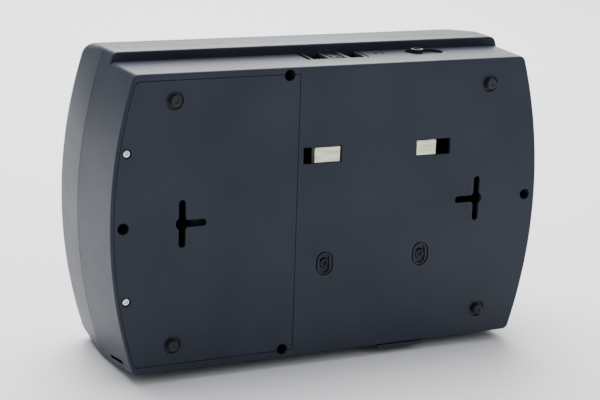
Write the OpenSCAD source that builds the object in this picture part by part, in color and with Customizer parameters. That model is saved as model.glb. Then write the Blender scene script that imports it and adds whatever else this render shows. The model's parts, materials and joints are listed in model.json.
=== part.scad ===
// Wall or desk time clock: barrel-sided housing, rear connector shelf, battery cover,
// display, keypad and fingerprint reader. X to the right from the front, front faces -Y, Z up.
// The origin is at the middle of the base.

/* [Housing] */
// Height of the flange and front shell
body_h = 215; // [214:1:216]
// Half width of the housing at the parting line
body_half_w = 162.7; // [162.2:0.1:163.2]
// Radius of the bowed sides
side_r = 325; // [320:1:330]
// Wall thickness of both shells
wall = 2.5; // [2.4:0.1:2.6]
// Depth of the rear shell
rear_d = 58; // [58:0.5:58.5]
// Depth of the front shell
front_d = 50; // [50:0.5:50.5]
// Depth of the connector shelf
shelf_d = 42; // [42:0.5:42.5]
// Drop from the flange to the connector shelf
step_h = 7.5; // [7.4:0.1:7.6]

/* [Rear face] */
// Height of a rubber foot above the rear face
foot_h = 3.5; // [3:0.5:4]
// Sideways place of the wall keyholes
keyhole_x = 110.2; // [109:0.1:111]
// Radius of the keyhole's round entry
keyhole_r = 4.5; // [4.3:0.1:4.7]
// Width of the keyhole's slots
keyhole_slot = 4.8; // [4.4:0.1:5]
// Place of the battery cover's straight edge
cover_x = 28.85; // [28:0.05:29.5]

/* [Keypad] */
// Width of a key
key_w = 17; // [16:0.5:17.5]
// Height of a key
key_h = 13; // [12:0.5:13.5]
// Travel of a key
key_travel = 1.2; // [0.8:0.1:1.3]
// Clearance round a key
key_gap = 0.3; // [0.25:0.05:0.4]

/* [Hidden] */
$fn = 40;
eps = 0.01;
rear_y = (rear_d + front_d + foot_h) / 2 - foot_h;
seam_y = rear_y - rear_d;
front_y = seam_y - front_d;
step_y = rear_y - shelf_d;
mid_z = body_h / 2;
shelf_z = body_h - step_h;
inner_y = rear_y - wall;
base_run = 10;
seam_gap = 0.6;
corner_r = 5;
rear_half_w = body_half_w - 3.7;
step_half_w = body_half_w - 1.1;
nose_half_w = body_half_w - 1.2;
shelf_rise = 1.2;
rear_round = 1.6;
rear_corner_r = 4.5;
front_round = 9;
cover_lip = 2.5;
cover_gap = 0.35;
ledge = 5;
ledge_t = 2.5;

// Fascia and display
panel_y = front_y + 1.5;
panel_t = 2;
web_y = panel_y + panel_t;
web_t = 2.5;
web_back = web_y + web_t;
panel_half_w = nose_half_w - 13;
panel_z0 = 14;
panel_z1 = body_h - 14;
lens_x0 = -130;
lens_x1 = 36;
lens_z0 = 88;
lens_z1 = 188;
glass_border = 4;

// Keypad grid, columns from the left and rows from the top
key_x = [58, 79, 100, 121];
key_z = [176, 159, 142, 125];
key_proud = 1.2;
flange_t = 1.2;
flange_y = web_back + 0.2;
mat_y = flange_y + flange_t + key_travel + 0.2;
mat_t = 1.5;
keyboard_y = mat_y + mat_t + 0.1;
board_t = 1.6;

// Reader, sensor, speaker and lights on the fascia: [x, z, width, height]
reader = [-95, 50, 66, 36];
sensor = [89.5, 72, 38, 50];
speaker = [-12, 50, 36, 36];
lights = [[79.5, 108], [99.5, 108]];
light_r = 2;

// Screw places on the rear face: [x, z]
case_screw_at = [[36.4, 202.3], [36.4, 12.9], [150.4, 107.8], [-150.4, 107.8]];
cover_screw_at = [[148.3, 157], [148.3, 58.6]];
foot_at = [[116.2, 189.6], [116.2, 25.6], [-116.2, 189.6], [-116.2, 25.6]];
pocket_at = [[6.5, 71.2], [-67.5, 71.2]];
pocket_size = [12.9, 17.3];
groove_t = 1.3;
groove_w = 1.2;
foot_r = 3.7;
foot_recess_r = 5.9;
foot_recess_t = 1.5;
keyhole_z = 107.9;
arm_up = 16.1;
arm_in = 17;
tower_r = 5.8;
tower_bore = 3.8;

// Hook windows: [low x, high x], and the bright tab in each
window_x = [[-3.5, 25], [-87, -60.2]];
tab_x = [[-2.2, 16.4], [-75.8, -61]];
window_z = [141.6, 152.9];
plate_y = 46.6;
plate_t = 1.5;
plate_x = [-76, 16.6];
plate_z = [60, 158];

// Connector shelf, which drops by shelf_rise from the step to the rear: [low x, high x] of its openings
port_x = [[10.6, 13.7], [-2.4, 9.4], [-15.5, -4.2], [-29.4, -18.6], [-33, -31.2]];
port_y = [step_y + 0.6, step_y + 20];
shelf_top = shelf_z + shelf_rise;
slit_x = [-42.5, -47.9];
slit_y = [step_y + 7, step_y + 12];
recess_x = [-94, -65.5];
recess_y = [step_y + 3, step_y + 19];
recess_z = shelf_z - 0.9;
jack_at = [-74.2, step_y + 11];
jack_r = 4.2;
jack_top = shelf_z + 3;
terminal_x = [-12.6, -7.1];
terminal_y = step_y + 5;

// Service flap in the base, hinged at its front edge
flap_x = [-73.3, -36];
slope = atan((step_h - 0.5) / (shelf_d - 3));
hinge_y = step_y + 8;
hinge_z = 4.3;
barrel_r = 2.6;
pin_r = 1;
lip_z = 4.2;
flap_gap = 0.4;
flap_end = rear_y - 3.05;

// Battery bay
batt_x = [38, 99];
batt_y = [9.5, 43.3];
batt_z = [23, 193];
tray_post = [[42.5, 30], [42.5, 185], [97, 30], [97, 101.5]];
tray_t = 1.8;
tray_gap = 0.4;

// Main board
main_x = [-126, 29];
main_z = [76, 197];
main_y = -36;
main_post = [[-120, 81], [24, 81], [-120, 192], [24, 192]];
frame_y = web_back + 6;
link_x = [-104, 24];
link_z = [150, 204];
link_y = step_y - board_t;
link_post = [[-98, 163], [18, 163]];

// Screw posts: small boards on the front shell, and the socket board on the rear shell
keyboard_x = [46, 133];
keyboard_z = [109, 193];
keyboard_post = [[50, 189], [129, 189], [50, 113], [129, 113]];
sensor_post = [[69, 54], [110, 54], [69, 90], [110, 90]];
sensor_y = web_back + 14;
reader_post = [[-122, 37], [-68, 37], [-122, 63], [-68, 63]];
reader_y = web_back + 3;
usb_x = -54.4;
usb_y = 33;
usb_z = 13;
usb_post = [[usb_x - 12, 35], [usb_x + 12, 35]];
usb_board_y = usb_y + 3.5;
post_r = 3;
post_hole = 1.2;
shank = 5;
lead_z = [184.4, 190.4];
lead_x = 28;

// Points on an arc, first and last steps chosen by i0 and i1
function arc_pts(cx, cz, r, a0, a1, n, i0, i1) =
    [for (i = [i0:i1]) let (a = a0 + (a1 - a0) * i / n) [cx + r * cos(a), cz + r * sin(a)]];

// Right half of the barrel outline, from the bottom to the top
function half_outline(w, z0, z1, r) = let (
    ax = w - side_r,
    top = z1 - r,
    low = z0 + r,
    a1 = asin((top - mid_z) / (side_r - r)),
    a0 = asin((low - mid_z) / (side_r - r)),
    bottom_arc = arc_pts(ax + (side_r - r) * cos(a0), low, r, -90, a0, 6, 0, 6),
    side_arc = arc_pts(ax, mid_z, side_r, a0, a1, 24, 1, 23),
    top_arc = arc_pts(ax + (side_r - r) * cos(a1), top, r, a1, 90, 6, 0, 6))
    concat(bottom_arc, side_arc, top_arc);

function outline(w, z0, z1, r) = let (half = half_outline(w, z0, z1, r), last = len(half) - 1)
    concat(half, [for (i = [last:-1:0]) [-half[i][0], half[i][1]]]);

// Barrel-shaped plate from y0 to y1
module plate(y0, y1, w, z0, z1, r)
    translate([0, y1, 0]) rotate([90, 0, 0]) linear_extrude(y1 - y0) polygon(outline(w, z0, z1, r));

// Thin slice for blending shapes with hull()
module slab(y, w, z0, z1, r) plate(y - eps, y, w, z0, z1, r);

// Slices of a quarter-round edge that ends at y; side is 1 towards the rear, -1 towards the front
module round_end(y, side, round, w, z0, z1, r)
    for (i = [0:5]) let (a = i * 18, s = round * (1 - cos(a)))
        slab(y - side * round * (1 - sin(a)), w - s, z0 + s, z1 - s, max(r - s, 1));

module block(x0, x1, y0, y1, z0, z1) translate([x0, y0, z0]) cube([x1 - x0, y1 - y0, z1 - z0]);

module y_bar(x, z, r, y0, y1) translate([x, y1, z]) rotate([90, 0, 0]) cylinder(r = r, h = y1 - y0);

module x_bar(y, z, r, x0, x1) translate([x0, y, z]) rotate([0, 90, 0]) cylinder(r = r, h = x1 - x0);

module z_bar(x, y, r, z0, z1) translate([x, y, z0]) cylinder(r = r, h = z1 - z0);

module round_rect(w, h, r) {
    square([w - 2 * r, h], center = true);
    square([w, h - 2 * r], center = true);
    for (x = [-1, 1]) for (z = [-1, 1]) translate([x * (w / 2 - r), z * (h / 2 - r)]) circle(r);
}

// Rounded plate facing the front or rear
module pad(x, z, w, h, r, y0, y1)
    translate([x, y1, z]) rotate([90, 0, 0]) linear_extrude(y1 - y0) round_rect(w, h, r);

// Screw along Y whose head ends at y; into is 1 when it points to the front
module screw(x, z, y, into, head_r, head_h, shank_r, length) {
    neck = y - into * head_h;
    tip = neck - into * length;
    y_bar(x, z, head_r, min(y, neck), max(y, neck));
    y_bar(x, z, shank_r, min(neck, tip), max(neck, tip));
}

// Board screw whose head sits on the face at y
module board_screw(p, y, into) {
    head = 1.8;
    screw(p[0], p[1], y + into * (head + 0.02), into, 2.5, head, 1.15, shank);
}

module post_holes(places, y) for (p = places) y_bar(p[0], p[1], 1.5, y - 1, y + board_t + 1);

module keyhole(side, y0, y1) {
    x = side * keyhole_x;
    y_bar(x, keyhole_z, keyhole_r, y0, y1);
    pad(x, keyhole_z, keyhole_slot, 2 * arm_up, keyhole_slot / 2 - eps, y0, y1);
    reach = arm_in - keyhole_slot / 2;
    block(min(x, x - side * reach), max(x, x - side * reach), y0, y1,
        keyhole_z - keyhole_slot / 2, keyhole_z + keyhole_slot / 2);
    y_bar(x - side * reach, keyhole_z, keyhole_slot / 2, y0, y1);
}

module front_housing() color("#2b2d33") difference() {
    union() {
        difference() {
            hull() {
                slab(seam_y - seam_gap, body_half_w, 0, body_h, corner_r);
                slab(seam_y - base_run, body_half_w - 0.1, 0, body_h, corner_r);
                round_end(front_y + eps, -1, front_round, nose_half_w, 3, body_h - 3, corner_r + 5);
            }
            hull() {
                slab(seam_y + 1, body_half_w - wall, wall, body_h - wall, corner_r - wall);
                slab(seam_y - base_run, body_half_w - 0.1 - wall, wall, body_h - wall, corner_r - wall);
                round_end(web_y + 0.2, -1, front_round - wall, nose_half_w - wall, 3 + wall,
                    body_h - 3 - wall, corner_r);
            }
        }
        plate(web_y - 0.5, web_back, panel_half_w + 4, panel_z0 - 4, panel_z1 + 4, 8);
        difference() {
            plate(seam_y - 3, seam_y + 2.6, body_half_w - 1.3, 1.3, body_h - 1.3, corner_r - 1);
            plate(seam_y - 4, seam_y + 4, body_half_w - wall, wall, body_h - wall, corner_r - wall);
        }
        for (p = case_screw_at) y_bar(p[0], p[1], tower_r - 0.5, web_y + 1, seam_y - 0.3);
        for (p = main_post) {
            y_bar(p[0], p[1], 5.5, web_y + 1, frame_y);
            y_bar(p[0], p[1], 3.5, web_y + 1, main_y);
        }
        for (p = keyboard_post) y_bar(p[0], p[1], post_r, web_y + 1, keyboard_y);
        for (p = tray_post) y_bar(p[0], p[1], post_r, web_y + 1, batt_y[0] - tray_t - 0.22);
        for (p = sensor_post) y_bar(p[0], p[1], post_r, web_y + 1, sensor_y);
        for (p = reader_post) y_bar(p[0], p[1], post_r, web_y + 1, reader_y);
        difference() {
            y_bar(speaker[0], speaker[1], 20, web_y + 1, web_back + 3.5);
            y_bar(speaker[0], speaker[1], 18.15, web_back, web_back + 5);
        }
    }
    plate(front_y - 1, web_y, panel_half_w + 0.2, panel_z0 - 0.2, panel_z1 + 0.2, 8.2);
    pad((lens_x0 + lens_x1) / 2, (lens_z0 + lens_z1) / 2, lens_x1 - lens_x0 - 2 * glass_border,
        lens_z1 - lens_z0 - 2 * glass_border, 2, web_y - 1, web_back + 1);
    for (x = key_x) for (z = key_z)
        pad(x, z, key_w + 2 * key_gap, key_h + 2 * key_gap, 2, web_y - 1, web_back + 1);
    pad(sensor[0], sensor[1], sensor[2] - 4, sensor[3] - 4, 6, web_y - 1, web_back + 1);
    for (p = lights) y_bar(p[0], p[1], light_r + 0.1, web_y - 1, web_back + 1);
    for (i = [-3:3]) pad(speaker[0], speaker[1] + 4 * i, 28, 2.2, 1, web_y - 1, web_back + 1);
    for (p = case_screw_at) y_bar(p[0], p[1], 1.55, seam_y - 20, seam_y);
    for (p = main_post) y_bar(p[0], p[1], post_hole, main_y - 6, main_y + 1);
    for (p = keyboard_post) y_bar(p[0], p[1], post_hole, web_back + 0.4, keyboard_y + 1);
    for (p = sensor_post) y_bar(p[0], p[1], post_hole, sensor_y - 6, sensor_y + 1);
    for (p = reader_post) y_bar(p[0], p[1], post_hole, web_back - 0.9, reader_y + 1);
}

module front_panel() color("#15171b") difference() {
    plate(panel_y, web_y, panel_half_w, panel_z0, panel_z1, 8);
    pad((lens_x0 + lens_x1) / 2, (lens_z0 + lens_z1) / 2, lens_x1 - lens_x0 + 0.4,
        lens_z1 - lens_z0 + 0.4, 3.2, panel_y - 1, web_y + 1);
    for (x = key_x) for (z = key_z)
        pad(x, z, key_w + 2 * key_gap, key_h + 2 * key_gap, 2, panel_y - 1, web_y + 1);
    pad(sensor[0], sensor[1], sensor[2] + 0.4, sensor[3] + 0.4, 8.2, panel_y - 1, web_y + 1);
    pad(reader[0], reader[1], reader[2] + 0.4, reader[3] + 0.4, 6.2, panel_y - 1, web_y + 1);
    for (p = lights) y_bar(p[0], p[1], light_r + 0.1, panel_y - 1, web_y + 1);
    for (i = [-3:3]) pad(speaker[0], speaker[1] + 4 * i, 28, 1.6, 0.7, panel_y - 1, web_y + 1);
}

module display_lens() color("#0b0f14", 0.6)
    pad((lens_x0 + lens_x1) / 2, (lens_z0 + lens_z1) / 2, lens_x1 - lens_x0, lens_z1 - lens_z0, 3,
        panel_y, web_y);

module display_module() color("#30343a")
    block(lens_x0 + 1, lens_x1 - 1, web_back + 0.2, frame_y - 0.1, lens_z0 + 0.5, lens_z1 - 2.5);

// Sheet frame that rests on the shoulders of the main posts and traps the display
module display_frame() color("#a8adb2") difference() {
    block(main_x[0], main_x[1], frame_y + 0.02, frame_y + 1, main_z[0], main_z[1]);
    block(lens_x0 + 30, lens_x1 - 30, frame_y - 1, frame_y + 2, lens_z0 + 25, lens_z1 - 25);
    for (p = main_post) y_bar(p[0], p[1], 3.7, frame_y - 1, frame_y + 2);
}

module reader_window() color("#3a4048")
    pad(reader[0], reader[1], reader[2], reader[3], 6, panel_y, web_y);

module reader_board() color("#1d5a35") difference() {
    block(reader[0] - 31, reader[0] + 31, reader_y + 0.02, reader_y + board_t,
        reader[1] - 17, reader[1] + 17);
    post_holes(reader_post, reader_y);
}

module sensor_bezel() color("#8d9298") difference() {
    union() {
        pad(sensor[0], sensor[1], sensor[2], sensor[3], 8, panel_y, web_y - 0.05);
        pad(sensor[0], sensor[1], sensor[2] - 4.6, sensor[3] - 4.6, 5.7, panel_y, web_back + 3);
    }
    pad(sensor[0], sensor[1], sensor[2] - 8, sensor[3] - 8, 4, panel_y - 1, web_y);
    pad(sensor[0], sensor[1] - 1, 20.4, 26.4, 2.2, panel_y, web_back + 4);
}

module sensor_glass() color("#4d6b78", 0.6)
    pad(sensor[0], sensor[1] - 1, 20, 26, 2, web_y + 0.8, web_back + 2.8);

module sensor_module() color("#1f2023") difference() {
    union() {
        block(sensor[0] - 14, sensor[0] + 14, web_back + 3.1, sensor_y + 0.5,
            sensor[1] - 18, sensor[1] + 18);
        block(sensor[0] - 24, sensor[0] + 24, sensor_y + 0.02, sensor_y + board_t,
            sensor[1] - 22, sensor[1] + 22);
    }
    post_holes(sensor_post, sensor_y);
}

module indicator_lens() color("#d8e0e4", 0.8)
    for (p = lights) {
        y_bar(p[0], p[1], light_r, panel_y, web_back + 0.1);
        y_bar(p[0], p[1], light_r + 0.8, web_back + 0.1, web_back + 1.4);
    }

// Silicone mat with a dome in each key's hollow
module keypad_mat() color("#6c7076") {
    block(key_x[0] - 12, key_x[3] + 11, mat_y, mat_y + mat_t, key_z[3] - 9, key_z[0] + 9);
    for (x = key_x) for (z = key_z)
        translate([x, mat_y + eps, z]) rotate([90, 0, 0]) cylinder(r1 = 3.6, r2 = 2.2, h = 2);
}

module keypad_board() color("#1d5a35") difference() {
    block(keyboard_x[0], keyboard_x[1], keyboard_y + 0.02, keyboard_y + board_t,
        keyboard_z[0], keyboard_z[1]);
    post_holes(keyboard_post, keyboard_y);
}

// One key: cap through the fascia, flange behind the web, hollow for the dome
module keypad_key(column, row) color("#c9ccd0") {
    x = key_x[column];
    z = key_z[row];
    difference() {
        union() {
            pad(x, z, key_w, key_h, 1.8, panel_y - key_proud, flange_y + eps);
            pad(x, z, key_w + 2.4, key_h + 2, 1.8, flange_y, flange_y + flange_t);
        }
        y_bar(x, z, 4.2, flange_y - 1.6, flange_y + flange_t + 1);
    }
}

module speaker_unit() color("#26282c") {
    y_bar(speaker[0], speaker[1], 18, web_back + 0.2, web_back + 4);
    y_bar(speaker[0], speaker[1], 10, web_back + 4, web_back + 9);
}

module main_board() color("#1d5a35") difference() {
    block(main_x[0], main_x[1], main_y + 0.02, main_y + board_t, main_z[0], main_z[1]);
    post_holes(main_post, main_y);
}

module board_chips() color("#17181a") {
    y = main_y + board_t;
    block(-60, -36, y, y + 1.8, 120, 144);
    block(-24, -8, y, y + 1.4, 126, 138);
    block(-100, -78, y, y + 2.6, 100, 112);
    block(-110, -86, y, y + 9, 160, 172);
    block(4, 20, y, y + 8, 100, 112);
    block(-10, 22, y, y + 6, 176, 183);
    for (x = [-66, -56, -46]) z_bar(x, y + 4, 3.4, 92, 104);
}

module coin_cell() color("#b9bcc0") {
    y = main_y + board_t;
    y_bar(-30, 164, 10, y + 0.8, y + 4);
    block(-42, -18, y, y + 0.8, 153, 175);
}

// Every board is held by the same small screw
module board_screws() color("#9ea2a7") {
    for (p = main_post) board_screw(p, main_y + board_t, 1);
    for (p = keyboard_post) board_screw(p, keyboard_y + board_t, 1);
    for (p = sensor_post) board_screw(p, sensor_y + board_t, 1);
    for (p = reader_post) board_screw(p, reader_y + board_t, 1);
    for (p = link_post) board_screw(p, link_y, -1);
    for (p = usb_post) board_screw(p, usb_board_y, -1);
}

// Flat ribbon from the back of the display to the main board
module display_ribbon() color("#d9dbd6") {
    y0 = frame_y - 0.08;
    y1 = main_y - 0.05;
    t = 0.35;
    translate([-70, 0, 0]) rotate([90, 0, 90]) linear_extrude(24) polygon([
        [y0, 118], [y0 + t, 118], [y0 + t, 121.4], [y1 - t, 124.6], [y1, 124.6], [y1, 128],
        [y1 - t, 128], [y1 - t, 125], [y0, 121.8]]);
}

module keypad_ribbon() color("#d9dbd6")
    translate([0, 0, 150]) linear_extrude(12) polygon([
        [48, keyboard_y + board_t + 0.1], [54, keyboard_y + board_t + 0.1], [54, keyboard_y + board_t + 0.6],
        [48.4, keyboard_y + board_t + 0.8], [38, main_y - 0.8], [20, main_y - 0.1], [14, main_y - 0.1],
        [14, main_y - 0.5], [19, main_y - 0.7], [37, main_y - 1.6]]);

// Outer body of the rear shell: flange in front, box behind it with a sloping base
module rear_body() {
    hull() {
        slab(seam_y + eps, body_half_w, 0, body_h, corner_r);
        round_end(step_y, 1, 1.2, step_half_w, 0, body_h, corner_r);
    }
    hull() {
        slab(step_y - 2, step_half_w, 0, shelf_top, corner_r);
        slab(step_y, step_half_w, 0, shelf_top, corner_r);
        round_end(rear_y, 1, rear_round, rear_half_w, step_h - 0.5, shelf_z, rear_corner_r);
    }
}

module rear_cavity() {
    hull() {
        slab(seam_y - 1, body_half_w - wall, wall, body_h - wall, corner_r - wall);
        slab(step_y - wall, step_half_w - wall, wall, body_h - wall, corner_r - wall);
    }
    hull() {
        slab(seam_y - 1, body_half_w - wall, wall, shelf_z - wall, corner_r - wall);
        slab(step_y, step_half_w - wall, wall + 0.2, shelf_top - wall, corner_r - wall);
        slab(inner_y, rear_half_w - wall, step_h + wall, shelf_z - wall, corner_r - wall);
    }
}

// Outline of the battery cover, grown by a margin
module cover_shape(y0, y1, grow) difference() {
    plate(y0, y1, rear_half_w - cover_lip + grow, 12.3 - grow, 202.7 + grow, 4);
    block(-200, cover_x - grow, y0 - 1, y1 + 1, -10, 250);
}

module flap_slope() translate([0, hinge_y, hinge_z]) rotate([slope, 0, 0]) children();

module rear_housing() color("#2b2d33") difference() {
    union() {
        difference() {
            rear_body();
            rear_cavity();
            cover_shape(inner_y - 1, rear_y + 1, -ledge);
        }
        intersection() {
            union() {
                difference() {
                    cover_shape(inner_y - ledge_t, inner_y + 0.2, 3);
                    cover_shape(inner_y - ledge_t - 1, inner_y + 1, -ledge);
                }
                for (p = case_screw_at) y_bar(p[0], p[1], tower_r, seam_y - 0.28, inner_y + 1);
            }
            rear_body();
        }
        for (p = cover_screw_at) y_bar(p[0], p[1], 4, inner_y - 12, inner_y);
        for (p = link_post) y_bar(p[0], p[1], post_r + 0.5, step_y + 0.02, inner_y + 1);
        for (p = usb_post) y_bar(p[0], p[1], post_r, usb_board_y + board_t + 0.02, inner_y + 1);
        block(recess_x[0] - 2, recess_x[1] + 2, step_y - 1, recess_y[1] + 2, shelf_z - 3, shelf_z - 1);
        for (p = pocket_at)
            pad(p[0], p[1], pocket_size[0] + 3, pocket_size[1] + 3, 7, plate_y + plate_t + 0.02, inner_y + 1);
        for (x = [flap_x[0] - 4.2, flap_x[1] + 0.5])
            block(x, x + 3.7, hinge_y - 3, hinge_y + 3, 2.6, hinge_z + 3);
    }
    cover_shape(inner_y, rear_y + 1, cover_gap);
    for (p = foot_at) if (p[0] < 0) y_bar(p[0], p[1], foot_recess_r, rear_y - foot_recess_t, rear_y + 1);
    for (p = case_screw_at) {
        y_bar(p[0], p[1], tower_bore, step_y - 5, rear_y + 1);
        y_bar(p[0], p[1], 1.8, seam_y - 1, rear_y);
    }
    for (p = cover_screw_at) y_bar(p[0], p[1], 1.3, inner_y - 11, inner_y + 1);
    for (p = link_post) y_bar(p[0], p[1], post_hole, step_y - 1, step_y + 8);
    for (p = usb_post) y_bar(p[0], p[1], post_hole, usb_board_y, usb_board_y + 8);
    keyhole(-1, inner_y - 2, rear_y + 1);
    for (w = window_x) block(w[0], w[1], inner_y - 1, rear_y + 1, window_z[0], window_z[1]);
    for (p = pocket_at) {
        difference() {
            pad(p[0], p[1], pocket_size[0], pocket_size[1], 6.4, rear_y - groove_t, rear_y + 1);
            pad(p[0], p[1], pocket_size[0] - 2 * groove_w, pocket_size[1] - 2 * groove_w, 6.4 - groove_w,
                rear_y - 3, rear_y + 2);
        }
        pad(p[0], p[1], 7.6, 13.6, 3.75, rear_y - 1.6, rear_y + 1);
        pad(p[0], p[1], 4, 8, 1.9, plate_y + 1, rear_y);
    }
    for (p = port_x) block(p[0], p[1], port_y[0], port_y[1], shelf_z - wall - 1, shelf_top + 1);
    for (x = slit_x) block(x - 0.7, x + 0.7, slit_y[0], slit_y[1], shelf_z - wall - 1, shelf_top + 1);
    translate([(recess_x[0] + recess_x[1]) / 2, (recess_y[0] + recess_y[1]) / 2, recess_z])
        linear_extrude(5) round_rect(recess_x[1] - recess_x[0], recess_y[1] - recess_y[0], 7.9);
    z_bar(jack_at[0], jack_at[1], jack_r + 0.2, shelf_z - 6, shelf_z);
    seam_plate_clear();
    side_slot();
    flap_opening();
    x_bar(hinge_y, hinge_z, pin_r + 0.02, flap_x[0] - 3.4, flap_x[1] + 3.4);
}

// Rebate that takes the front shell's tongue
module seam_plate_clear() difference() {
    plate(seam_y - 1, seam_y + 3, body_half_w - 1.1, 1.1, body_h - 1.1, corner_r - 1);
    plate(seam_y - 2, seam_y + 4, body_half_w - wall - 1, wall + 1, body_h - wall - 1, corner_r - wall);
    for (p = case_screw_at) y_bar(p[0], p[1], tower_r, seam_y - 2, seam_y + 4);
}

// Narrow slot low in the right side wall
module side_slot()
    translate([141, step_y + 5.4, 7.6]) rotate([slope * 0.7, 0, 0]) {
        cube([20, 21, 2.6]);
        for (y = [0, 21]) translate([0, y, 1.3]) rotate([0, 90, 0]) cylinder(r = 1.3, h = 20);
    }

module flap_opening()
    block(flap_x[0] - flap_gap, flap_x[1] + flap_gap, hinge_y - barrel_r - 0.35, flap_end + 0.45, -5, 10.2);

module rear_cover() color("#2b2d33") difference() {
    cover_shape(inner_y + 0.02, rear_y, 0);
    keyhole(1, inner_y - 1, rear_y + 1);
    for (p = foot_at) if (p[0] > 0) y_bar(p[0], p[1], foot_recess_r, rear_y - foot_recess_t, rear_y + 1);
    for (p = case_screw_at) y_bar(p[0], p[1], tower_bore, inner_y - 1, rear_y + 1);
    for (p = cover_screw_at) {
        y_bar(p[0], p[1], 1.7, inner_y - 1, rear_y + 1);
        y_bar(p[0], p[1], 3.3, rear_y - 1.5, rear_y + 1);
    }
}

module cover_screws() color("#cfd2d4")
    for (p = cover_screw_at) screw(p[0], p[1], rear_y - 0.1, 1, 2.75, 1.35, 1.25, 8);

module case_screws() color("#1a1a1c")
    for (p = case_screw_at) screw(p[0], p[1], step_y - 2.5, 1, 3, 2.4, 1.5, 24);

// Rubber buttons, each standing on the floor of its round recess
module rubber_feet() color("#202226")
    for (p = foot_at) difference() {
        y_bar(p[0], p[1], foot_r, rear_y - foot_recess_t + 0.02, rear_y + foot_h);
        y_bar(p[0], p[1], 1.1, rear_y + foot_h - 1.2, rear_y + foot_h + 1);
    }

// Tab of sheet: a face just inside the window, and two legs back to the plate, set in from its edges
module hook_tab(x0, x1, z0, z1) {
    sheet = 1.2;
    inset = 2.6;
    face_y = rear_y - 0.6;
    block(x0, x1, face_y - sheet, face_y, z0, z1);
    for (x = [x0 + inset, x1 - inset - sheet]) block(x, x + sheet, plate_y, face_y - eps, z0 + 1, z1 - 1);
}

// Steel plate behind the rear wall, with a raised tab in each hook window
module hook_plate() color("#c8ccc0") difference() {
    union() {
        block(plate_x[0], plate_x[1], plate_y, plate_y + plate_t, plate_z[0], plate_z[1]);
        for (t = tab_x) hook_tab(t[0], t[1], window_z[0] + 0.5, window_z[1] - 0.7);
    }
    for (p = pocket_at) y_bar(p[0], p[1], 1.65, plate_y - 1, plate_y + 3);
}

module pocket_screws() color("#3a3c40")
    for (p = pocket_at) screw(p[0], p[1], rear_y - 0.2, 1, 3.4, 1.35, 1.6, 6);

module pocket_nuts() color("#b9bcc0")
    for (p = pocket_at) difference() {
        translate([p[0], plate_y - 0.02, p[1]]) rotate([90, 0, 0]) cylinder(r = 3.4, h = 2.6, $fn = 6);
        y_bar(p[0], p[1], 1.63, plate_y - 4, plate_y + 1);
    }

// Flap: round hinge barrel, plate in line with the base, and a finger lip at the rear
module service_flap() color("#2b2d33") difference() {
    union() {
        x_bar(hinge_y, hinge_z, barrel_r, flap_x[0], flap_x[1]);
        flap_slope() translate([flap_x[0] + 0.1, 0, 0.3 - barrel_r])
            cube([flap_x[1] - flap_x[0] - 0.2, 31, 1.7]);
        flap_lip(flap_end - 2.7, flap_end, step_h + 0.7);
        flap_lip(flap_end - eps, rear_y - 0.15, step_h - 0.85);
    }
    x_bar(hinge_y, hinge_z, pin_r + 0.05, flap_x[0] - 1, flap_x[1] + 1);
}

// Hanging lip: small bevel at one end, long slant at the other
module flap_lip(y0, y1, top)
    translate([0, y1, 0]) rotate([90, 0, 0]) linear_extrude(y1 - y0) polygon([
        [flap_x[0], top], [flap_x[0], lip_z + 1], [flap_x[0] + 1, lip_z], [flap_x[1] - 3.6, lip_z],
        [flap_x[1], min(top, lip_z + 2.4)], [flap_x[1], top]]);

module flap_pin() color("#b9bcc0") x_bar(hinge_y, hinge_z, pin_r, flap_x[0] - 3.2, flap_x[1] + 3.2);

module usb_port() color("#b9bcc0") difference() {
    block(usb_x - 7.2, usb_x + 7.2, usb_y - 3.5, usb_y + 3.5, usb_z, usb_z + 14);
    difference() {
        block(usb_x - 6.4, usb_x + 6.4, usb_y - 2.6, usb_y + 2.6, usb_z - 1, usb_z + 10);
        block(usb_x - 5.6, usb_x + 5.6, usb_y + 0.2, usb_y + 2, usb_z + 1, usb_z + 11);
    }
}

module usb_board() color("#1d5a35") difference() {
    block(usb_x - 17, usb_x + 17, usb_board_y, usb_board_y + board_t, usb_z, usb_z + 28);
    post_holes(usb_post, usb_board_y);
}

module connector_board() color("#1d5a35") difference() {
    block(link_x[0], link_x[1], link_y, link_y + board_t, link_z[0], link_z[1]);
    post_holes(link_post, link_y);
}

// Modular jack that opens upwards under the shelf
module modular_jack(x0, x1, mouth, depth) difference() {
    block(x0 - 0.6, x1 + 0.6, step_y + 0.1, step_y + 16, shelf_z - wall - 15.1, shelf_z - wall - 0.1);
    mid = (x0 + x1) / 2;
    low = shelf_z - wall - depth;
    block(mid - mouth / 2, mid + mouth / 2, step_y + 1.6, step_y + 8.6, low, shelf_z);
    block(mid - 2.4, mid + 2.4, step_y + 8, step_y + 10, low, shelf_z);
}

module network_jack() color("#3b3d41") modular_jack(port_x[1][0], port_x[1][1], 11, 13);

module line_jack() color("#3b3d41") modular_jack(port_x[3][0], port_x[3][1], 9.8, 12);

// Two-way terminal block standing in its opening: screw wells at the step, wire mouths behind
module terminal_block() color("#3f4a45") {
    x0 = port_x[2][0] + 0.4;
    x1 = port_x[2][1] - 0.4;
    difference() {
        union() {
            block(x0, x1, step_y + 0.9, step_y + 15, shelf_z - 13, shelf_z + 0.2);
            block(x0, x1, step_y + 0.1, step_y + 4, shelf_z - 13, shelf_z - 6);
        }
        for (x = terminal_x) {
            z_bar(x, terminal_y, 2.1, shelf_z - 4, shelf_z + 1);
            block(x - 1.7, x + 1.7, step_y + 8.6, step_y + 13, shelf_z - 8, shelf_z + 1);
        }
    }
}

module terminal_screws() color("#c4c7c2")
    for (x = terminal_x) difference() {
        z_bar(x, terminal_y, 1.9, shelf_z - 3.98, shelf_z - 0.4);
        block(x - 0.4, x + 0.4, terminal_y - 2, terminal_y + 2, shelf_z - 1.2, shelf_z);
    }

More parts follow.
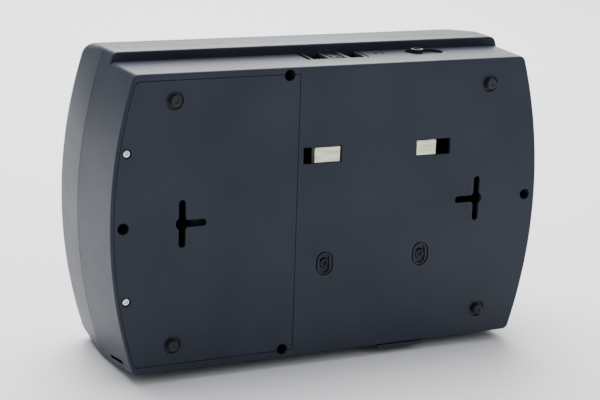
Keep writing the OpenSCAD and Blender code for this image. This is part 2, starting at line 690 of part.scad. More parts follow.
module power_jack() color("#16171a") {
    difference() {
        union() {
            z_bar(jack_at[0], jack_at[1], jack_r, shelf_z - 4.6, jack_top);
            block(jack_at[0] - 6.6, jack_at[0] + 6.6, step_y + 0.1, step_y + 18, shelf_z - 16, shelf_z - 4.6);
        }
        z_bar(jack_at[0], jack_at[1], 2.8, shelf_z - 12, jack_top + 1);
    }
    z_bar(jack_at[0], jack_at[1], 1.05, shelf_z - 12.2, jack_top - 1);
}

module relay() color("#2d5fa8") block(-62, -43, step_y + 0.1, step_y + 15.4, 158, 173.5);

module capacitors() color("#23262b")
    for (x = [-86, -74]) y_bar(x, 168, 5, step_y + 0.1, step_y + 14);

module battery_pack() color("#3f444b") {
    block(batt_x[0], batt_x[1], batt_y[0], batt_y[1] - 6, batt_z[0], batt_z[1]);
    block(batt_x[0], batt_x[1], batt_y[1] - 6, batt_y[1], batt_z[0], batt_z[1] - 16);
    for (i = [0, 1])
        block(46 + 11 * i, 50 + 11 * i, batt_y[1] - 6, batt_y[1] - 1, lead_z[i] - 2.4, lead_z[i] - 1.6);
}

module battery_tray() color("#33363c") {
    x0 = batt_x[0] - tray_gap;
    x1 = batt_x[1] + tray_gap;
    z0 = batt_z[0] - tray_gap;
    z1 = batt_z[1] + tray_gap;
    y0 = batt_y[0] - 0.2;
    difference() {
        block(x0 - tray_t, x1 + tray_t, y0 - tray_t, inner_y - 3.1, z0 - tray_t, z1 + tray_t);
        block(x0, x1, y0, inner_y + 1, z0, z1);
        block(x1 - 1, x1 + 5, 43, inner_y + 1, 84, 132);
        block(x0 - 5, x0 + 1, 37, inner_y + 1, lead_z[0] - 2.5, lead_z[1] + 2.5);
    }
}

module battery_straps() color("#9ea2a7")
    for (z = [52, 158]) block(batt_x[0] - 1.8, batt_x[1] + 1.8, inner_y - 3, inner_y - 1.8, z, z + 14);

// One edge of a wire's outline, at a distance d from its middle line
function wire_edge(d, x_end, bend, run_y, plug_y) = concat(
    [[lead_x - bend - 4, plug_y - d]],
    arc_pts(lead_x - bend, plug_y + bend, bend + d, -90, 0, 8, 0, 8),
    arc_pts(lead_x + bend, run_y - bend, bend - d, 180, 90, 8, 0, 8),
    [[x_end, run_y - d]]);

function reversed(list) = [for (i = [len(list) - 1:-1:0]) list[i]];

// Two wires from the battery's tabs to a plug on the connector board
module battery_lead() color("#a33028") {
    bend = 5;
    wire_r = 1;
    run_y = batt_y[1] - 3;
    plug_y = step_y + 5;
    for (i = [0, 1]) {
        x_end = 47 + 11 * i;
        block(x_end - 0.8, x_end + 2.8, run_y - 1.6, run_y + 1.6, lead_z[i] - 1.58, lead_z[i] + 1.2);
        translate([0, 0, lead_z[i] - wire_r]) linear_extrude(2 * wire_r) polygon(concat(
            wire_edge(wire_r, x_end, bend, run_y, plug_y),
            reversed(wire_edge(-wire_r, x_end, bend, run_y, plug_y))));
    }
    block(13.5, lead_x - bend - 3, step_y + 0.1, plug_y + 3, lead_z[0] - 3, lead_z[1] + 3);
}

front_housing();
front_panel();
display_lens();
display_module();
display_frame();
reader_window();
reader_board();
sensor_bezel();
sensor_glass();
sensor_module();
indicator_lens();
keypad_mat();
keypad_board();
keypad_key(0, 0);  // key_1
keypad_key(1, 0);  // key_2
keypad_key(2, 0);  // key_3
keypad_key(3, 0);  // key_up
keypad_key(0, 1);  // key_4
keypad_key(1, 1);  // key_5
keypad_key(2, 1);  // key_6
keypad_key(3, 1);  // key_down
keypad_key(0, 2);  // key_7
keypad_key(1, 2);  // key_8
keypad_key(2, 2);  // key_9
keypad_key(3, 2);  // key_menu
keypad_key(0, 3);  // key_clear
keypad_key(1, 3);  // key_0
keypad_key(2, 3);  // key_enter
keypad_key(3, 3);  // key_power
speaker_unit();  // speaker
main_board();
board_chips();
coin_cell();
board_screws();
display_ribbon();
keypad_ribbon();
rear_housing();
rear_cover();
cover_screws();
case_screws();
rubber_feet();
hook_plate();
pocket_screws();
service_flap();
flap_pin();
usb_port();
usb_board();
connector_board();
network_jack();
line_jack();
terminal_block();
terminal_screws();
power_jack();
relay();
capacitors();
battery_pack();
battery_tray();
battery_straps();
battery_lead();
pocket_nuts();
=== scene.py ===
import bmesh
import bpy
import json
import math
from mathutils import Matrix, Vector


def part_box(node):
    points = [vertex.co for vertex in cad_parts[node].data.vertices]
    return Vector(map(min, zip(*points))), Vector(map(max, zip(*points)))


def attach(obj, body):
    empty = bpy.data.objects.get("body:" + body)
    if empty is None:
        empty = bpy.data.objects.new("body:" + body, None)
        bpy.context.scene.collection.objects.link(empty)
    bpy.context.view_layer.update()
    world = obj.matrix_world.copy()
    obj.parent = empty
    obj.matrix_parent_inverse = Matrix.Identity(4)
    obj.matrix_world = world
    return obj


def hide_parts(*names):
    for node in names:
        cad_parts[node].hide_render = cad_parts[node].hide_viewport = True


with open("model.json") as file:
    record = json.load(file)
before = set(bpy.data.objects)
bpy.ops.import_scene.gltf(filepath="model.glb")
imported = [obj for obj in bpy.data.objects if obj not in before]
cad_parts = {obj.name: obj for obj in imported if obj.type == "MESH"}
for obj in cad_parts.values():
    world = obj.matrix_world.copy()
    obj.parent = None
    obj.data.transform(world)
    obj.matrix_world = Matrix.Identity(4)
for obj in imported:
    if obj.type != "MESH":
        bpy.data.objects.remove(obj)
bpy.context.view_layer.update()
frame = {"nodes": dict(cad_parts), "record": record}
nodes = frame["nodes"]
mm = 0.001
print("frame loaded:", len(nodes), "nodes")


def srgb(r, g, b):
    # a colour as seen on a screen, 0 to 255, turned into the shader's linear values
    def linear(c):
        c = c / 255
        return c / 12.92 if c <= 0.04045 else ((c + 0.055) / 1.055) ** 2.4
    return (linear(r), linear(g), linear(b), 1.0)


# camera, light and floor

camera = {
    "place": (469.5, 997.65, 388.1),    # mm, in the frame
    "target": (26.5, 52.25, 117.4),
    "roll": 1.87,                       # degrees
    "lens": 96.8,
}
studio = {
    "floor": srgb(248, 249, 251),
    "world": srgb(236, 238, 243),
    "worldStrength": 0.45,
    "floorSize": 12.0,
}
softboxes = [  # name, place m, aims at m, size m, watts
    ("overhead", (0.0, -0.9, 2.3), (0.0, -0.3, 0.1), 2.6, 134),
    ("backdropGlow", (-0.9, -2.2, 1.55), (0.0, 0.0, 0.1), 2.2, 60),
    ("side", (1.9, -0.1, 0.5), (0.1, 0.0, 0.08), 1.3, 1),
    ("fill", (-1.3, 1.6, 1.2), (0.0, 0.0, 0.1), 1.4, 9),
]


def makeCamera():
    place = Vector(camera["place"]) * mm
    forward = (Vector(camera["target"]) * mm - place).normalized()
    right = forward.cross(Vector((0, 0, 1))).normalized()
    up = right.cross(forward)
    turn = math.radians(camera["roll"])
    rolledRight = right * math.cos(turn) + up * math.sin(turn)
    rolledUp = up * math.cos(turn) - right * math.sin(turn)
    data = bpy.data.cameras.new("camera")
    data.lens = camera["lens"]
    data.clip_start = 0.05
    data.clip_end = 60
    cam = bpy.data.objects.new("camera", data)
    bpy.context.scene.collection.objects.link(cam)
    axes = Matrix((rolledRight, rolledUp, -forward)).transposed()
    cam.matrix_world = Matrix.Translation(place) @ axes.to_4x4()
    bpy.context.scene.camera = cam


def makeSoftbox(name, place, target, size, watts):
    data = bpy.data.lights.new(name, "AREA")
    data.shape = "DISK"
    data.size = size
    data.energy = watts
    lamp = bpy.data.objects.new(name, data)
    bpy.context.scene.collection.objects.link(lamp)
    lamp.location = place
    lamp.rotation_euler = (Vector(target) - Vector(place)).to_track_quat("-Z", "Y").to_euler()


# shader maths: a wrapped socket that takes Python's operators

class Signal:
    def __init__(self, graph, socket):
        self.graph = graph
        self.socket = socket

    def maths(self, operation, first, second):
        made = self.graph.add("ShaderNodeMath", {"operation": operation}, {0: first, 1: second})
        return made[0]

    def __add__(self, other):
        return self.maths("ADD", self, other)

    def __radd__(self, other):
        return self.maths("ADD", other, self)

    def __sub__(self, other):
        return self.maths("SUBTRACT", self, other)

    def __rsub__(self, other):
        return self.maths("SUBTRACT", other, self)

    def __mul__(self, other):
        return self.maths("MULTIPLY", self, other)

    def __rmul__(self, other):
        return self.maths("MULTIPLY", other, self)


class Graph:
    def __init__(self, name):
        self.material = bpy.data.materials.new(name)
        self.material.use_nodes = True
        self.tree = self.material.node_tree
        self.shader = self.tree.nodes["Principled BSDF"]
        self.place = self.add("ShaderNodeTexCoord", {}, {})["Object"]

    def add(self, kind, settings, values):
        # settings come first, then the sockets' values or links; gives the outputs as signals
        node = self.tree.nodes.new(kind)
        for key, value in settings.items():
            setattr(node, key, value)
        for key, value in values.items():
            self.feed(node.inputs[key], value)
        named = {i: Signal(self, s) for i, s in enumerate(node.outputs)}
        named.update({s.name: Signal(self, s) for s in node.outputs if s.enabled})
        return named

    def feed(self, socket, value):
        if isinstance(value, Signal):
            self.tree.links.new(value.socket, socket)
        else:
            socket.default_value = value

    def noise(self, scale, detail=2.0, stretch=(1, 1, 1)):
        at = self.add("ShaderNodeMapping", {}, {"Vector": self.place, "Scale": stretch})["Vector"]
        return self.add("ShaderNodeTexNoise", {}, {"Vector": at, "Scale": scale, "Detail": detail})[0]

    def between(self, value, low, high):
        span = {"From Min": 0.3, "From Max": 0.7, "To Min": low, "To Max": high}
        return self.add("ShaderNodeMapRange", {}, {"Value": value, **span})["Result"]

    def blend(self, factor, first, second):
        return self.add("ShaderNodeMix", {"data_type": "RGBA"}, {0: factor, 6: first, 7: second})[2]

    def bump(self, height, strength, distance):
        values = {"Height": height, "Strength": strength, "Distance": distance}
        return self.add("ShaderNodeBump", {}, values)["Normal"]

    def finish(self, **values):
        for key, value in values.items():
            name = {"colour": "Base Color", "roughness": "Roughness", "metallic": "Metallic",
                    "coat": "Coat Weight", "normal": "Normal", "specular": "Specular IOR Level",
                    "transmission": "Transmission Weight"}[key]
            self.feed(self.shader.inputs[name], value)
        return self.material


# finishes

def mouldedPlastic(name, dark, light, roughness, grain, wear=0.0, specular=0.5):
    # cloudy colour, fine spark-eroded grain, and slightly polished patches from handling
    g = Graph(name)
    cloud = g.between(g.noise(18), 0.0, 1.0)
    patch = g.between(g.noise(7, 3), -0.04, 0.05)
    pores = g.noise(2600, 1)
    ripple = g.noise(420, 2)
    height = pores * 0.7 + ripple * 0.3
    scuff = g.between(g.noise(45, 4, (1, 1, 2.5)), -wear, wear)
    return g.finish(colour=g.blend(cloud, dark, light), roughness=patch + scuff + roughness,
                    normal=g.bump(height, grain, 0.00012), specular=specular)


def glossPlastic(name, dark, light, roughness, coat=0.4):
    g = Graph(name)
    cloud = g.between(g.noise(25), 0.0, 1.0)
    smear = g.between(g.noise(35, 3, (1, 1, 3)), 0.0, 0.07)
    wave = g.noise(60, 1)
    return g.finish(colour=g.blend(cloud, dark, light), roughness=smear + roughness, coat=coat,
                    normal=g.bump(wave, 0.05, 0.0002))


def platedMetal(name, dark, light, roughness, stretch=(1, 1, 1), bump=0.15, patches=45):
    # rolled or plated metal: streaks along the sheet and a little dulling
    g = Graph(name)
    streak = g.noise(260, 3, stretch)
    tarnish = g.between(g.noise(patches, 3, stretch), 0.0, 1.0)
    return g.finish(colour=g.blend(tarnish, dark, light), metallic=1.0,
                    roughness=g.between(streak, roughness - 0.06, roughness + 0.08),
                    normal=g.bump(streak, bump, 0.00008))


def softRubber(name, dark, light):
    g = Graph(name)
    bloom = g.between(g.noise(90, 4), 0.0, 1.0)
    return g.finish(colour=g.blend(bloom, dark, light), roughness=g.between(g.noise(120), 0.6, 0.78),
                    normal=g.bump(g.noise(1500, 2), 0.25, 0.0001))


def tintedGlass(name, colour, transmission, roughness=0.03):
    g = Graph(name)
    film = g.between(g.noise(30, 3), roughness, roughness + 0.05)
    return g.finish(colour=colour, roughness=film, transmission=transmission, coat=0.5)


def circuitBoard(name):
    # solder mask over traces, seen as faint raised lines
    g = Graph(name)
    lane = g.add("ShaderNodeTexVoronoi", {"distance": "CHEBYCHEV"}, {"Vector": g.place, "Scale": 260.0})[0]
    shade = g.between(g.noise(80, 2), 0.0, 1.0)
    return g.finish(colour=g.blend(shade, srgb(14, 74, 38), srgb(24, 104, 52)),
                    roughness=g.between(lane, 0.28, 0.4), normal=g.bump(lane, 0.3, 0.00005))


finishes = {
    "housing": mouldedPlastic("charcoalMoulding", srgb(41, 46, 56), srgb(48, 53, 64), 0.38, 0.14,
                              wear=0.015, specular=0.14),
    "fascia": glossPlastic("blackFascia", srgb(11, 12, 15), srgb(15, 16, 20), 0.16, 0.1),
    "screenGlass": tintedGlass("screenGlass", srgb(24, 27, 31), 0.35),
    "screenPanel": glossPlastic("screenPanel", srgb(10, 12, 16), srgb(14, 17, 22), 0.3, 0.2),
    "zinc": platedMetal("zincPlate", srgb(188, 196, 148), srgb(226, 229, 218), 0.4, (1, 1, 5), 0.2, 75),
    "reader": glossPlastic("readerWindow", srgb(28, 31, 36), srgb(34, 38, 44), 0.2, 0.4),
    "circuitBoard": circuitBoard("solderMask"),
    "bezel": mouldedPlastic("bezelPlastic", srgb(104, 108, 114), srgb(116, 120, 126), 0.34, 0.12),
    "sensorGlass": tintedGlass("sensorGlass", srgb(120, 160, 178), 0.6),
    "blackPart": mouldedPlastic("blackPart", srgb(18, 18, 21), srgb(26, 26, 29), 0.42, 0.12),
    "lightPipe": tintedGlass("lightPipe", srgb(222, 228, 230), 0.7, 0.12),
    "silicone": softRubber("greySilicone", srgb(104, 108, 113), srgb(118, 121, 126)),
    "brightSteel": platedMetal("brightSteel", srgb(196, 198, 202), srgb(222, 224, 228), 0.2),
    "blackSteel": platedMetal("blackenedSteel", srgb(34, 34, 37), srgb(52, 52, 56), 0.34),
    "rubber": softRubber("blackRubber", srgb(14, 16, 22), srgb(22, 25, 32)),
    "ribbon": glossPlastic("ribbonFilm", srgb(208, 211, 204), srgb(222, 224, 218), 0.35, 0.1),
    "terminal": mouldedPlastic("terminalPlastic", srgb(60, 71, 66), srgb(72, 84, 78), 0.35, 0.1),
    "relayCase": glossPlastic("relayCase", srgb(30, 70, 150), srgb(38, 82, 166), 0.25, 0.2),
    "batteryCase": mouldedPlastic("batteryCase", srgb(62, 67, 74), srgb(72, 77, 84), 0.45, 0.15),
    "keyPlastic": mouldedPlastic("keyPlastic", srgb(188, 191, 196), srgb(200, 203, 207), 0.36, 0.1),
    "keyInk": mouldedPlastic("keyInk", srgb(22, 24, 30), srgb(30, 32, 38), 0.5, 0.05),
    "wire": glossPlastic("wireSleeve", srgb(160, 38, 32), srgb(176, 48, 40), 0.35, 0.1),
    "gold": platedMetal("goldContact", srgb(212, 170, 84), srgb(236, 196, 110), 0.22),
    # pale grey on the charcoal shell's scoop faces: a painted highlight for the glint on the sloped scoop
    # floor
    "wellHighlight": glossPlastic("wellPaintedHighlight", srgb(176, 180, 188), srgb(192, 196, 204), 0.12, 1.0),
}
print("finishes made:", len(finishes))


# mesh helpers

def addPiece(name, mesh, finish, body, replaced=()):
    piece = bpy.data.objects.new(name, mesh)
    bpy.context.scene.collection.objects.link(piece)
    mesh.materials.clear()
    for finishName in (finish if isinstance(finish, tuple) else (finish,)):
        mesh.materials.append(finishes[finishName])
    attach(piece, body)
    if replaced:
        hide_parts(*replaced)
    return piece


def smoothMesh(mesh, degrees):
    for face in mesh.polygons:
        face.use_smooth = True
    mesh.set_sharp_from_angle(angle=math.radians(degrees))


def baked(piece, name):
    # the evaluated mesh as a plain one, with the working object removed
    graph = bpy.context.evaluated_depsgraph_get()
    mesh = bpy.data.meshes.new_from_object(piece.evaluated_get(graph), depsgraph=graph)
    mesh.name = name
    bpy.data.objects.remove(piece)
    return mesh


def bevelled(mesh, name, width, segments=2, degrees=35):
    work = bpy.data.objects.new(name, mesh)
    bpy.context.scene.collection.objects.link(work)
    smoothMesh(mesh, degrees)
    edge = work.modifiers.new("edge", "BEVEL")
    edge.width = width
    edge.segments = segments
    edge.limit_method = "ANGLE"
    edge.angle_limit = math.radians(degrees)
    edge.use_clamp_overlap = True
    even = work.modifiers.new("even", "WEIGHTED_NORMAL")
    even.keep_sharp = False
    return baked(work, name)


def mergedCopy(node):
    mesh = nodes[node].data.copy()
    work = bmesh.new()
    work.from_mesh(mesh)
    bmesh.ops.remove_doubles(work, verts=work.verts, dist=2e-6)
    bmesh.ops.dissolve_limit(work, angle_limit=math.radians(0.4), verts=work.verts, edges=work.edges)
    work.to_mesh(mesh)
    work.free()
    return mesh


def islands(node):
    # lowest and highest corner of each separate solid in a CAD node
    work = bmesh.new()
    work.from_mesh(nodes[node].data)
    bmesh.ops.remove_doubles(work, verts=work.verts, dist=2e-6)
    left = set(work.verts)
    found = []
    while left:
        reached = {left.pop()}
        edge = set(reached)
        while edge:
            edge = {e.other_vert(v) for v in edge for e in v.link_edges} - reached
            reached |= edge
        left -= reached
        corners = [v.co for v in reached]
        low = Vector([min(c[i] for c in corners) for i in range(3)])
        high = Vector([max(c[i] for c in corners) for i in range(3)])
        found.append((low, high))
    work.free()
    return sorted(found, key=lambda b: (round(b[0].x, 4), round(b[0].z, 4)))


def middle(box):
    return (box[0] + box[1]) / 2


def meshFrom(work, name):
    mesh = bpy.data.meshes.new(name)
    bmesh.ops.recalc_face_normals(work, faces=work.faces)
    work.to_mesh(mesh)
    work.free()
    return mesh


def ringLoft(name, rings):
    # skins a list of equal rings of points and closes both ends
    work = bmesh.new()
    made = [[work.verts.new(p) for p in ring] for ring in rings]
    count = len(made[0])
    for lower, upper in zip(made, made[1:]):
        for i in range(count):
            work.faces.new((lower[i], lower[(i + 1) % count], upper[(i + 1) % count], upper[i]))
    work.faces.new(made[0])
    work.faces.new(made[-1])
    return meshFrom(work, name)


def turned(name, profile, steps=32):
    # a shape turned about Y from (radius, y) pairs; the ends are closed
    rings = []
    for radius, y in profile:
        angles = [2 * math.pi * i / steps for i in range(steps)]
        rings.append([(radius * math.cos(a), y, radius * math.sin(a)) for a in angles])
    return ringLoft(name, rings)


def setFaces(mesh, slot, inside):
    # gives the faces whose middle passes the test another material slot
    for face in mesh.polygons:
        if inside(face.center):
            face.material_index = slot


def strip(name, path, width, thickness):
    # a sheet strip along points in the YZ plane, wide along X
    rings = []
    for i, (y, z) in enumerate(path):
        before = Vector(path[max(i - 1, 0)])
        after = Vector(path[min(i + 1, len(path) - 1)])
        along = (after - before).normalized()
        side = Vector((-along.y, along.x)) * thickness / 2
        near = Vector((y, z)) + side
        far = Vector((y, z)) - side
        rings.append([(-width / 2, near.x, near.y), (width / 2, near.x, near.y),
                      (width / 2, far.x, far.y), (-width / 2, far.x, far.y)])
    return ringLoft(name, rings)


def cutBy(mesh, cutter, name):
    body = bpy.data.objects.new(name, mesh)
    tool = bpy.data.objects.new(name + "Tool", cutter)
    for o in (body, tool):
        bpy.context.scene.collection.objects.link(o)
    cut = body.modifiers.new("cut", "BOOLEAN")
    cut.operation = "DIFFERENCE"
    cut.solver = "EXACT"
    cut.object = tool
    result = baked(body, name)
    bpy.data.objects.remove(tool)
    return result


# repeated pieces: one tree sets a prototype on every point of a mesh

def repeatTree():
    tree = bpy.data.node_groups.new("repeatOnPoints", "GeometryNodeTree")
    face = tree.interface
    face.new_socket("Points", in_out="INPUT", socket_type="NodeSocketGeometry")
    face.new_socket("Prototype", in_out="INPUT", socket_type="NodeSocketObject")
    face.new_socket("Size", in_out="INPUT", socket_type="NodeSocketFloat")
    face.new_socket("Turn spread", in_out="INPUT", socket_type="NodeSocketFloat")
    face.new_socket("Seed", in_out="INPUT", socket_type="NodeSocketInt")
    face.new_socket("Material", in_out="INPUT", socket_type="NodeSocketMaterial")
    face.new_socket("Result", in_out="OUTPUT", socket_type="NodeSocketGeometry")
    start = tree.nodes.new("NodeGroupInput")
    end = tree.nodes.new("NodeGroupOutput")
    info = tree.nodes.new("GeometryNodeObjectInfo")
    turn = tree.nodes.new("FunctionNodeRandomValue")
    turn.data_type = "FLOAT"
    axis = tree.nodes.new("ShaderNodeCombineXYZ")
    place = tree.nodes.new("GeometryNodeInstanceOnPoints")
    real = tree.nodes.new("GeometryNodeRealizeInstances")
    paint = tree.nodes.new("GeometryNodeSetMaterial")
    link = tree.links.new
    link(start.outputs["Prototype"], info.inputs["Object"])
    link(start.outputs["Turn spread"], turn.inputs[3])
    link(start.outputs["Seed"], turn.inputs["Seed"])
    link(turn.outputs[1], axis.inputs["Y"])
    link(start.outputs["Points"], place.inputs["Points"])
    link(info.outputs["Geometry"], place.inputs["Instance"])
    link(axis.outputs[0], place.inputs["Rotation"])
    link(start.outputs["Size"], place.inputs["Scale"])
    link(place.outputs[0], real.inputs[0])
    link(real.outputs[0], paint.inputs["Geometry"])
    link(start.outputs["Material"], paint.inputs["Material"])
    link(paint.outputs[0], end.inputs[0])
    return tree


repeatOnPoints = repeatTree()


def repeated(name, prototype, places, finish, spread=0.0, seed=3):
    dots = bpy.data.meshes.new(name + "Dots")
    dots.from_pydata([tuple(p) for p in places], [], [])
    holder = bpy.data.objects.new(name, dots)
    model = bpy.data.objects.new(name + "Model", prototype)
    for o in (holder, model):
        bpy.context.scene.collection.objects.link(o)
    modifier = holder.modifiers.new("repeat", "NODES")
    modifier.node_group = repeatOnPoints
    wanted = {"Prototype": model, "Size": 1.0, "Turn spread": spread, "Seed": seed,
              "Material": finishes[finish]}
    for item in repeatOnPoints.interface.items_tree:
        if item.in_out == "INPUT" and item.name in wanted:
            modifier[item.identifier] = wanted[item.name]
    mesh = baked(holder, name)
    bpy.data.objects.remove(model)
    return mesh


# housing

shells = {
    "edge": 0.22 * mm,
    "flapEdge": 0.15 * mm,
    "pieces": [("frontShell", "front_housing"), ("rearShell", "rear_housing"),
               ("batteryCover", "rear_cover"), ("fasciaPanel", "front_panel")],
}
plugScoop = {  # mm; heights are taken from the top of the power jack
    "length": 25.5,
    "width": 14.0,
    "shift": -5.5,
    "fromFront": 10.9,
    "drop": 3.3,
    "flatness": 0.32,
    # where the pale painted highlight is laid over the scoop faces
    "highlightDrop": 3.4,
    "highlightReach": (13.4, 7.6, 2.6),
}


def scoopMiddle(drop):
    low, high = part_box("power_jack")
    x = middle((low, high)).x + plugScoop["shift"] * mm
    return Vector((x, low.y + plugScoop["fromFront"] * mm, high.z - drop * mm))


def scoopCutter():
    # a blunt capsule laid along X over the shelf, beside the power jack
    centre = scoopMiddle(plugScoop["drop"])
    radius = plugScoop["width"] * mm / 2
    straight = plugScoop["length"] * mm / 2 - radius
    rings = []
    steps = 24
    for i in range(1, steps):
        a = math.pi * i / steps
        x = -math.cos(a) * radius
        x += math.copysign(straight, x) if abs(x) > 1e-6 else 0
        r = radius * math.sin(a)
        ring = []
        for k in range(steps):
            b = 2 * math.pi * k / steps
            ring.append((centre.x + x, centre.y + r * math.cos(b),
                         centre.z + r * math.sin(b) * plugScoop["flatness"]))
        rings.append(ring)
    return ringLoft("scoopCutter", rings)


def shellFinish(nodeName):
    return "fascia" if nodeName == "front_panel" else "housing"


for pieceName, nodeName in shells["pieces"]:
    shellMesh = mergedCopy(nodeName)
    if nodeName == "rear_housing":
        shellMesh = cutBy(shellMesh, scoopCutter(), pieceName)
    shellMesh = bevelled(shellMesh, pieceName, shells["edge"])
    if nodeName == "rear_housing":
        spot = scoopMiddle(plugScoop["highlightDrop"])
        reach = Vector(plugScoop["highlightReach"]) * mm
        # faces around the scoop take the pale finish: a painted highlight
        setFaces(shellMesh, 1, lambda c: all(abs(c[i] - spot[i]) < reach[i] for i in range(3)))
        addPiece(pieceName, shellMesh, ("housing", "wellHighlight"), "case", [nodeName])
    else:
        addPiece(pieceName, shellMesh, shellFinish(nodeName), "case", [nodeName])
flapMesh = bevelled(mergedCopy("service_flap"), "flapPlate", shells["flapEdge"])
addPiece("flapPlate", flapMesh, "housing", "flap", ["service_flap"])
print("shells made")


# screws, each with a cross recess

screwHead = {  # shares of the head's radius or height
    "dome": 0.35,
    "recess": 0.62,
    "recessDepth": 0.8,
    "recessFloor": 0.62,
    "wing": 0.16,
    "shank": 0.45,
    "shankLength": 7 * mm,
    "turnSpread": 1.2,  # radians
    "seed": 5,
}


def crossHead(name, radius, height, crown):
    # a head about Y with its top at +Y; the shank side is at -Y
    top = 0.0
    steps = 6
    profile = [(radius, top - height)]
    for i in range(steps + 1):
        a = math.pi / 2 * i / steps
        profile.append((radius - crown + crown * math.cos(a), top - crown + crown * math.sin(a)))
    profile.append((0.02 * mm, top))
    head = turned(name, profile)
    reach = radius * screwHead["recess"]
    wing = radius * screwHead["wing"]
    depth = height * screwHead["recessDepth"]
    outline = [(reach, wing), (wing, wing), (wing, reach), (-wing, reach), (-wing, wing), (-reach, wing),
               (-reach, -wing), (-wing, -wing), (-wing, -reach), (wing, -reach), (wing, -wing),
               (reach, -wing)]
    upper = [(x, top + 0.2 * mm, z) for x, z in outline]
    taper = screwHead["recessFloor"]
    lower = [(x * taper, top - depth, z * taper) for x, z in outline]
    made = cutBy(head, ringLoft(name + "Recess", [lower, upper]), name)
    smoothMesh(made, 35)
    return made


def addScrews(name, node, finish, headRadius, headHeight):
    solids = islands(node)
    heads = [Vector((middle(s).x, s[1].y, middle(s).z)) for s in solids]
    prototype = crossHead(name + "Head", headRadius, headHeight, headHeight * screwHead["dome"])
    mesh = repeated(name, prototype, heads, finish, screwHead["turnSpread"], screwHead["seed"])
    smoothMesh(mesh, 35)
    shankRadius = headRadius * screwHead["shank"]
    shankEnds = [(shankRadius, -screwHead["shankLength"]), (shankRadius, -headHeight + 0.05 * mm)]
    shanks = turned(name + "Shank", shankEnds, 16)
    shankMesh = repeated(name + "Shanks", shanks, heads, finish)
    addPiece(name, mesh, finish, "case", [node])
    addPiece(name + "Shanks", shankMesh, finish, "case", ())


addScrews("coverScrews", "cover_screws", "brightSteel", 2.35 * mm, 1.3 * mm)
addScrews("caseScrews", "case_screws", "blackSteel", 2.95 * mm, 2.3 * mm)
addScrews("pocketScrews", "pocket_screws", "blackSteel", 3.35 * mm, 1.3 * mm)
print("screws made")


# sprung contacts in the jacks and wire clamps in the terminal block

contact = {"width": 0.42, "thickness": 0.2, "pitch": 1.02}
clamp = {"width": 3.0, "thickness": 0.3}
# y from the front of the jack or block, z from its top, mm
contactPath = [(2.2, -1.2), (2.5, -3.6), (3.4, -6.2), (5.0, -8.6)]
clampPath = [(9.0, -6.5), (9.0, -1.2), (9.6, -0.7), (12.2, -0.7), (12.6, -1.2), (12.6, -6.5)]


def pathFrom(points, y, z):
    return [(y + a * mm, z + b * mm) for a, b in points]


def addContacts(name, node, count):
    low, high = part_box(node)
    shape = strip(name + "Strip", pathFrom(contactPath, low.y, high.z),
                  contact["width"] * mm, contact["thickness"] * mm)
    start = middle((low, high)).x - contact["pitch"] * mm * (count - 1) / 2
    places = [Vector((start + i * contact["pitch"] * mm, 0, 0)) for i in range(count)]
    mesh = repeated(name, shape, places, "gold")
    addPiece(name, mesh, "gold", "case", ())


addContacts("networkContacts", "network_jack", 8)
addContacts("lineContacts", "line_jack", 6)


def addClamps():
    low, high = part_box("terminal_block")
    screws = islands("terminal_screws")
    path = pathFrom(clampPath, low.y, high.z)
    shape = strip("clampStrip", path, clamp["width"] * mm, clamp["thickness"] * mm)
    places = [Vector((middle(s).x, 0, 0)) for s in screws]
    mesh = repeated("wireClamps", shape, places, "brightSteel")
    addPiece("wireClamps", mesh, "brightSteel", "case", ())


addClamps()
print("contacts made")


# rubber feet: a moulded button with a rounded rim and a dimple

foot = {"rim": 0.7, "dimple": 1.5, "dimpleFloor": 0.7, "dimpleDepth": 0.5}


def addFeet():
    solids = islands("rubber_feet")
    low, high = solids[0]
    radius = (high.x - low.x) / 2
    tall = high.y - low.y
    rim = foot["rim"] * mm
    profile = [(radius, -tall)]
    for i in range(7):
        a = math.pi / 2 * i / 6
        profile.append((radius - rim + rim * math.cos(a), -rim + rim * math.sin(a)))
    profile.append((foot["dimple"] * mm, 0))
    profile.append((foot["dimple"] * mm * foot["dimpleFloor"], -foot["dimpleDepth"] * mm))
    profile.append((0.05 * mm, -foot["dimpleDepth"] * mm))
    button = turned("footButton", profile)
    tops = [Vector((middle(s).x, s[1].y, middle(s).z)) for s in solids]
    mesh = repeated("rubberFeet", button, tops, "rubber")
    smoothMesh(mesh, 40)
    addPiece("rubberFeet", mesh, "rubber", "case", ["rubber_feet"])


addFeet()


# keys: dished caps with generic marks

keyCap = {  # mm
    "corner": 1.8,
    "edge": 0.5,
    "dish": 0.35,
    "flange": 1.2,
    "flangeUp": 0.8,  # share of the flange above and below the cap
    "markDepth": 0.06,
    "digit": 7.6,
}
keyMarks = {"key_1": "1", "key_2": "2", "key_3": "3", "key_4": "4", "key_5": "5", "key_6": "6",
            "key_7": "7", "key_8": "8", "key_9": "9", "key_0": "0"}
signs = {
    "key_up": [[(-2.2, -1.2), (2.2, -1.2), (0, 1.8)]],
    "key_down": [[(-2.2, 1.2), (0, -1.8), (2.2, 1.2)]],
    "key_menu": [[(-2.4, h - 0.3), (2.4, h - 0.3), (2.4, h + 0.3), (-2.4, h + 0.3)] for h in (-1.5, 0, 1.5)],
    "key_clear": [[(-2.2, -1.8), (-1.8, -2.2), (2.2, 1.8), (1.8, 2.2)],
                  [(1.8, -2.2), (2.2, -1.8), (-1.8, 2.2), (-2.2, 1.8)]],
    "key_enter": [[(-2.4, 0), (-1.9, 0.5), (-0.6, -0.8), (-0.6, -1.8)],
                  [(-0.6, -1.8), (-0.6, -0.8), (2.0, 1.9), (2.5, 1.4)]],
    "key_power": [[(-0.35, 0.2), (0.35, 0.2), (0.35, 2.4), (-0.35, 2.4)]],
}
powerRing = {"outer": 2.3, "inner": 1.7, "start": 130, "sweep": 280, "steps": 20}  # mm and degrees


